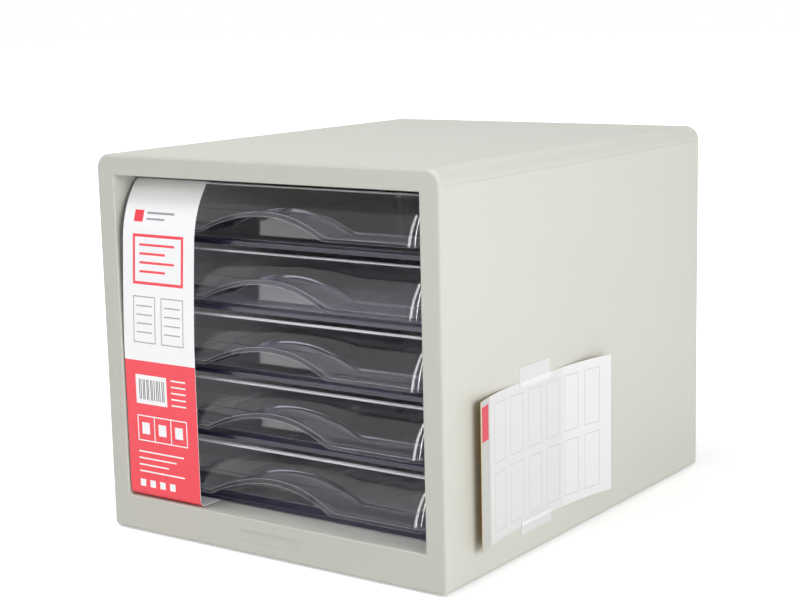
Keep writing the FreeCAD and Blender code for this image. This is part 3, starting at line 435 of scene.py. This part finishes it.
band = {                                 # mm
    "left": -121.9, "width": 63.2, "thickness": 0.3,
    "face": -170.95,                     # y of the paper's printed side
    "undersides": [199.9, 156.3, 112.7, 69.1, 25.5],     # of the five drawers
    "pitch": 43.6,
    "cutDrop": 1.8,                      # a cut runs this far below a drawer's underside
    "cutGap": 0.02,
    "visorRadius": 46.2, "visorHeight": 202.85, "hemTop": 240.55,
    "tail": 1.0,                         # onto the hem
    "lean": 4.4,                         # the strip hangs a little askew over its upper half
    "leanStart": 128.0, "leanRun": 81.0, "leanEase": 1.3,
    "returnStart": 215.0, "returnRun": 31.0, "returnShare": 0.82,
    "foldLow": 24.85, "foldRadius": 4.0, "foldTail": 18.0,
    "redTop": 119.7,                     # the red field reaches up to here
    "bentStep": 1.2, "flatStep": 4.0,    # length of one facet
}
band["sweep"] = math.asin((band["hemTop"] - band["visorHeight"]) / band["visorRadius"])
band["hemRun"] = band["visorHeight"] + band["visorRadius"] * band["sweep"]


def bandLean(s):
    climb = min(max((s - band["leanStart"]) / band["leanRun"], 0), 1)
    back = min(max((s - band["returnStart"]) / band["returnRun"], 0), 1)
    return band["lean"] * climb ** band["leanEase"] - band["returnShare"] * band["lean"] * back ** 2


def bandPlace(x, s):
    # s is the height on the flat front; it runs on over the hem above and under the drawer below
    across = band["left"] + x + bandLean(s)
    radius, fold = band["visorRadius"], band["foldRadius"]
    if s > band["visorHeight"]:
        turn = min((s - band["visorHeight"]) / radius, band["sweep"])
        rest = max(s - band["hemRun"], 0)
        return Vector((across, band["face"] + radius * (1 - math.cos(turn)) + rest,
                       band["visorHeight"] + radius * math.sin(turn)))
    bendStart = band["foldLow"] + fold
    if s < bendStart:
        turn = min((bendStart - s) / fold, math.pi / 2)
        rest = max(bendStart - s - fold * math.pi / 2, 0)
        return Vector((across, band["face"] + fold * (1 - math.cos(turn)) + rest,
                       bendStart - fold * math.sin(turn)))
    return Vector((across, band["face"], s))


def bandMotifs():
    # white above, red below; boxes, bars and rules as (left, low, right, high, ink) in mm
    white, red, grey, black = range(4)
    motifs = [(-1, -100, 80, band["redTop"], red)]
    motifs += [(9, 214, 17, 222, red), (20, 219.5, 44, 221, grey), (20, 215.5, 36, 216.8, grey)]
    motifs += frameMotif(9, 172, 54, 206, 2.0, red)
    motifs += [(15, 198 - 6 * i, 46 - 8 * (i % 2), 199.6 - 6 * i, red) for i in range(4)]
    for left in (9, 34):
        motifs += frameMotif(left, 132, left + 20, 164, 0.7, grey)
        motifs += [(left + 3, 157 - 6 * i, left + 17, 157.8 - 6 * i, grey) for i in range(4)]
    motifs += [(9, 90, 37, 110, white)]
    bars = [0, 1.4, 3.4, 4.6, 6.8, 8.0, 10.4, 11.6, 13.4, 15.4, 16.8, 18.4, 20.6, 22.0]
    motifs += [(12 + bar, 93, 12.7 + bar, 107, black) for bar in bars]
    motifs += [(41, 108 - 4.2 * i, 54, 109 - 4.2 * i, white) for i in range(5)]
    motifs += frameMotif(9, 64, 54, 82, 0.8, white)
    motifs += [(24, 64, 24.8, 82, white), (39, 64, 39.8, 82, white)]
    motifs += [(13 + 15 * i, 69, 20 + 15 * i, 77, white) for i in range(3)]
    motifs += [(9, 56 - 4.6 * i, 50 - 7 * (i % 3), 57 - 4.6 * i, white) for i in range(4)]
    motifs += [(9 + 9 * i, 32, 14 + 9 * i, 37, white) for i in range(4)]
    return motifs


def makeBand():
    # one strip for each drawer, cut where the fronts part
    motifs = bandMotifs()
    last = len(bandNames) - 1
    for i, name in enumerate(bandNames):
        low = band["undersides"][i] - band["cutDrop"] + band["cutGap"] / 2
        high = band["undersides"][i] - band["cutDrop"] + band["pitch"] - band["cutGap"] / 2
        if i == 0:
            high = band["hemRun"] + band["tail"]
        if i == last:
            low = band["foldLow"] - band["foldTail"]
        step = band["bentStep"] if i in (0, last) else band["flatStep"]
        strip = printedSheet(f"paper_band_{i + 1}", band["width"], low, high, motifs, bandPlace,
                             bandPapers, band["thickness"], step)
        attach(strip, f"pull_drawer_{i + 1}")
        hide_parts(name)


makeBand()
print("paper band made")


card = {                                 # mm
    "wall": 138.5, "front": -143.5, "bottom": 21.0,
    "length": 161.5, "height": 94.5, "thickness": 0.35,
    "standOff": 0.25,                    # of the printed side; the back lies 0.1 in the wall
    "flatStart": 56.5, "flatEnd": 94.5,  # along the card, under the tapes
    "frontCurl": 7.0, "rearCurl": 8.5,
    "step": 3.0,                         # length of one facet
}


def curlLift(distance, run, curl):
    # how far an arc that rises by curl over its run has left the wall
    radius = (run ** 2 + curl ** 2) / (2 * curl)
    return radius - math.sqrt(max(radius ** 2 - distance ** 2, 0))


def cardPlace(x, s):
    # x runs up the card and s runs back along it
    lift = 0.0
    if s < card["flatStart"]:
        lift = curlLift(card["flatStart"] - s, card["flatStart"], card["frontCurl"])
    if s > card["flatEnd"]:
        lift = curlLift(s - card["flatEnd"], card["length"] - card["flatEnd"], card["rearCurl"])
    return Vector((card["wall"] + card["standOff"] + lift,
                   card["front"] + s, card["bottom"] + x))


def cardMotifs():
    # a slightly darker field over the front part, a head strip with a red tag, and two rows of
    # empty boxes
    red, grey, frontField = 1, 2, 3
    high = card["height"]
    motifs = [(0, 0, high, 110, frontField), (0, 0, high, 15, grey), (high - 26, 2, high - 4, 13, red)]
    for low in (6, 50):
        for column in range(6):
            start = 22 + column * 22.5
            motifs += frameMotif(low, start, low + 38, start + 16, 0.5, grey)
    return motifs


def makeCard():
    kraftBack = len(cardPapers) - 1
    piece = printedSheet("curled_card", card["height"], 0.0, card["length"], cardMotifs(),
                         cardPlace, cardPapers, card["thickness"], card["step"], kraftBack)
    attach(piece, "casing")
    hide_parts("title_card_sheet")


makeCard()
print("card made")


stageLook = {
    "floorColour": "#e9e9e9", "size": 14.0,              # m
    "floorHeight": -1.0,                                 # mm, under the feet
    "near": 0.2, "far": 0.6,                             # m from the middle of the object
    "nearLift": 0.42, "farLift": 1.0,                    # the glow that whitens the floor there
}


def makeFloor():
    bm = bmesh.new()
    bmesh.ops.create_grid(bm, x_segments=1, y_segments=1, size=stageLook["size"])
    bmesh.ops.translate(bm, verts=bm.verts, vec=(0, 0, stageLook["floorHeight"] * mm))
    floor = addPiece("floor", bm)
    material, tree, place = newMaterial("painted_floor")
    light = addNode(tree, "ShaderNodeLightPath")
    paint = addNode(tree, "ShaderNodeBsdfDiffuse", {
        "Color": hexColour(stageLook["floorColour"])})
    away = addNode(tree, "ShaderNodeVectorMath", {0: place}, operation="LENGTH")
    lift = addNode(tree, "ShaderNodeMapRange", {
        "Value": away.outputs["Value"],
        "From Min": stageLook["near"], "From Max": stageLook["far"],
        "To Min": stageLook["nearLift"], "To Max": stageLook["farLift"]})
    seen = light.outputs["Is Camera Ray"]
    for ray in ("Is Glossy Ray", "Is Transmission Ray"):
        seen = addNode(tree, "ShaderNodeMath", {
            0: seen, 1: light.outputs[ray]}, operation="MAXIMUM")
    strength = addNode(tree, "ShaderNodeMath", {0: lift, 1: seen}, operation="MULTIPLY")
    glow = addNode(tree, "ShaderNodeEmission", {"Strength": strength})
    both = addNode(tree, "ShaderNodeAddShader", {0: paint, 1: glow})
    addNode(tree, "ShaderNodeOutputMaterial", {"Surface": both})
    floor.data.materials.append(material)


studio = {
    "ambient": 0.44,                     # what lights the object
    "front": 0.55,                       # the room in front, seen in gloss and glass
    "frontTo": -0.1, "whiteFrom": 0.5,   # y of the direction looked in
}


def makeWorld():
    # white behind the object, and a dimmer room in front of it that only gloss and glass show
    world = bpy.data.worlds.new("studio")
    bpy.context.scene.world = world
    world.use_nodes = True
    tree = world.node_tree
    tree.nodes.clear()
    light = addNode(tree, "ShaderNodeLightPath")
    place = addNode(tree, "ShaderNodeTexCoord").outputs["Object"]
    parts = addNode(tree, "ShaderNodeSeparateXYZ", {0: place})
    depth = addNode(tree, "ShaderNodeMapRange", {
        "Value": parts.outputs["Y"],
        "From Min": studio["frontTo"], "From Max": studio["whiteFrom"],
        "To Min": studio["front"], "To Max": 1.0})
    shiny = addNode(tree, "ShaderNodeMath", {
        0: light.outputs["Is Glossy Ray"], 1: light.outputs["Is Transmission Ray"]},
        operation="MAXIMUM")
    lit = addNode(tree, "ShaderNodeMix", {"Factor": shiny, "A": studio["ambient"], "B": depth})
    strength = addNode(tree, "ShaderNodeMix", {
        "Factor": light.outputs["Is Camera Ray"], "A": lit.outputs["Result"], "B": 1.0})
    background = addNode(tree, "ShaderNodeBackground", {
        "Color": hexColour("#ffffff"), "Strength": strength.outputs["Result"]})
    addNode(tree, "ShaderNodeOutputWorld", {"Surface": background})


softboxes = {                            # place, target and size in m, power in W
    "side_softbox": {
        "place": (1.6, -0.6, 0.5), "target": (0, 0, 0.12), "size": (1.0, 0.8),
        "power": 19.5, "gives": "fill"},
    "overhead_softbox": {
        "place": (-0.5, -0.5, 1.6), "target": (0, 0, 0.2), "size": (0.8, 0.8),
        "power": 12, "gives": "fill"},
    "front_fill": {
        "place": (-0.7, -1.9, 1.35), "target": (0, -0.17, 0.12), "size": (0.8, 0.8),
        "power": 4, "gives": "fill"},
    "right_strip": {
        "place": (1.09, -1.85, 1.55), "target": (0, -0.17, 0.2), "size": (0.3, 2.8),
        "power": 26, "gives": "sheen"},
    "front_strip": {
        "place": (-0.62, -2.25, 1.55), "target": (0, -0.17, 0.2), "size": (0.7, 2.8),
        "power": 48, "gives": "sheen"},
    "top_sheen": {
        "place": (0.2, 0.2, 2.2), "target": (0, 0, 0.1), "size": (1.8, 1.8),
        "power": 36, "gives": "sheen"},
}


def addSoftbox(name, box):
    # a fill lights matt surfaces only, and a sheen shows in gloss and glass only
    light = bpy.data.lights.new(name, "AREA")
    light.shape = "RECTANGLE"
    light.size, light.size_y = box["size"]
    light.energy = box["power"]
    lamp = bpy.data.objects.new(name, light)
    bpy.context.scene.collection.objects.link(lamp)
    aim = Vector(box["target"]) - Vector(box["place"])
    lamp.location = box["place"]
    lamp.rotation_mode = "QUATERNION"
    lamp.rotation_quaternion = aim.to_track_quat("-Z", "Y")
    lamp.visible_diffuse = box["gives"] == "fill"
    lamp.visible_glossy = lamp.visible_transmission = box["gives"] == "sheen"


view = {
    "place": (676.117, -970.023, 352.596),               # mm
    "azimuth": 35.496, "elevation": 9.986, "roll": -1.3132,      # degrees
    "lens": 75.97, "sensor": 36.0,                       # mm
    "clip": (0.05, 60.0),                                # m
}


def makeCamera():
    azimuth, elevation, roll = (
        math.radians(view[angle]) for angle in ("azimuth", "elevation", "roll"))
    back = Vector((math.sin(azimuth) * math.cos(elevation),
                   -math.cos(azimuth) * math.cos(elevation), math.sin(elevation)))
    across = Vector((0, 0, 1)).cross(back).normalized()
    up = back.cross(across)
    right = across * math.cos(roll) + up * math.sin(roll)
    above = up * math.cos(roll) - across * math.sin(roll)
    data = bpy.data.cameras.new("camera")
    data.sensor_fit = "HORIZONTAL"
    data.sensor_width = view["sensor"]
    data.lens = view["lens"]
    data.clip_start, data.clip_end = view["clip"]
    camera = bpy.data.objects.new("camera", data)
    bpy.context.scene.collection.objects.link(camera)
    turn = Matrix((right, above, back)).transposed().to_4x4()
    camera.matrix_world = Matrix.Translation(Vector(view["place"]) * mm) @ turn
    bpy.context.scene.camera = camera


makeFloor()
makeWorld()
for name, box in softboxes.items():
    addSoftbox(name, box)
makeCamera()
bpy.context.scene.view_settings.view_transform = "Standard"
lightBounces = 32            # light crosses many tray walls on its way in and out
bpy.context.scene.cycles.max_bounces = lightBounces
bpy.context.scene.cycles.transmission_bounces = lightBounces
bpy.context.scene.cycles.transparent_max_bounces = lightBounces
print("stage made")
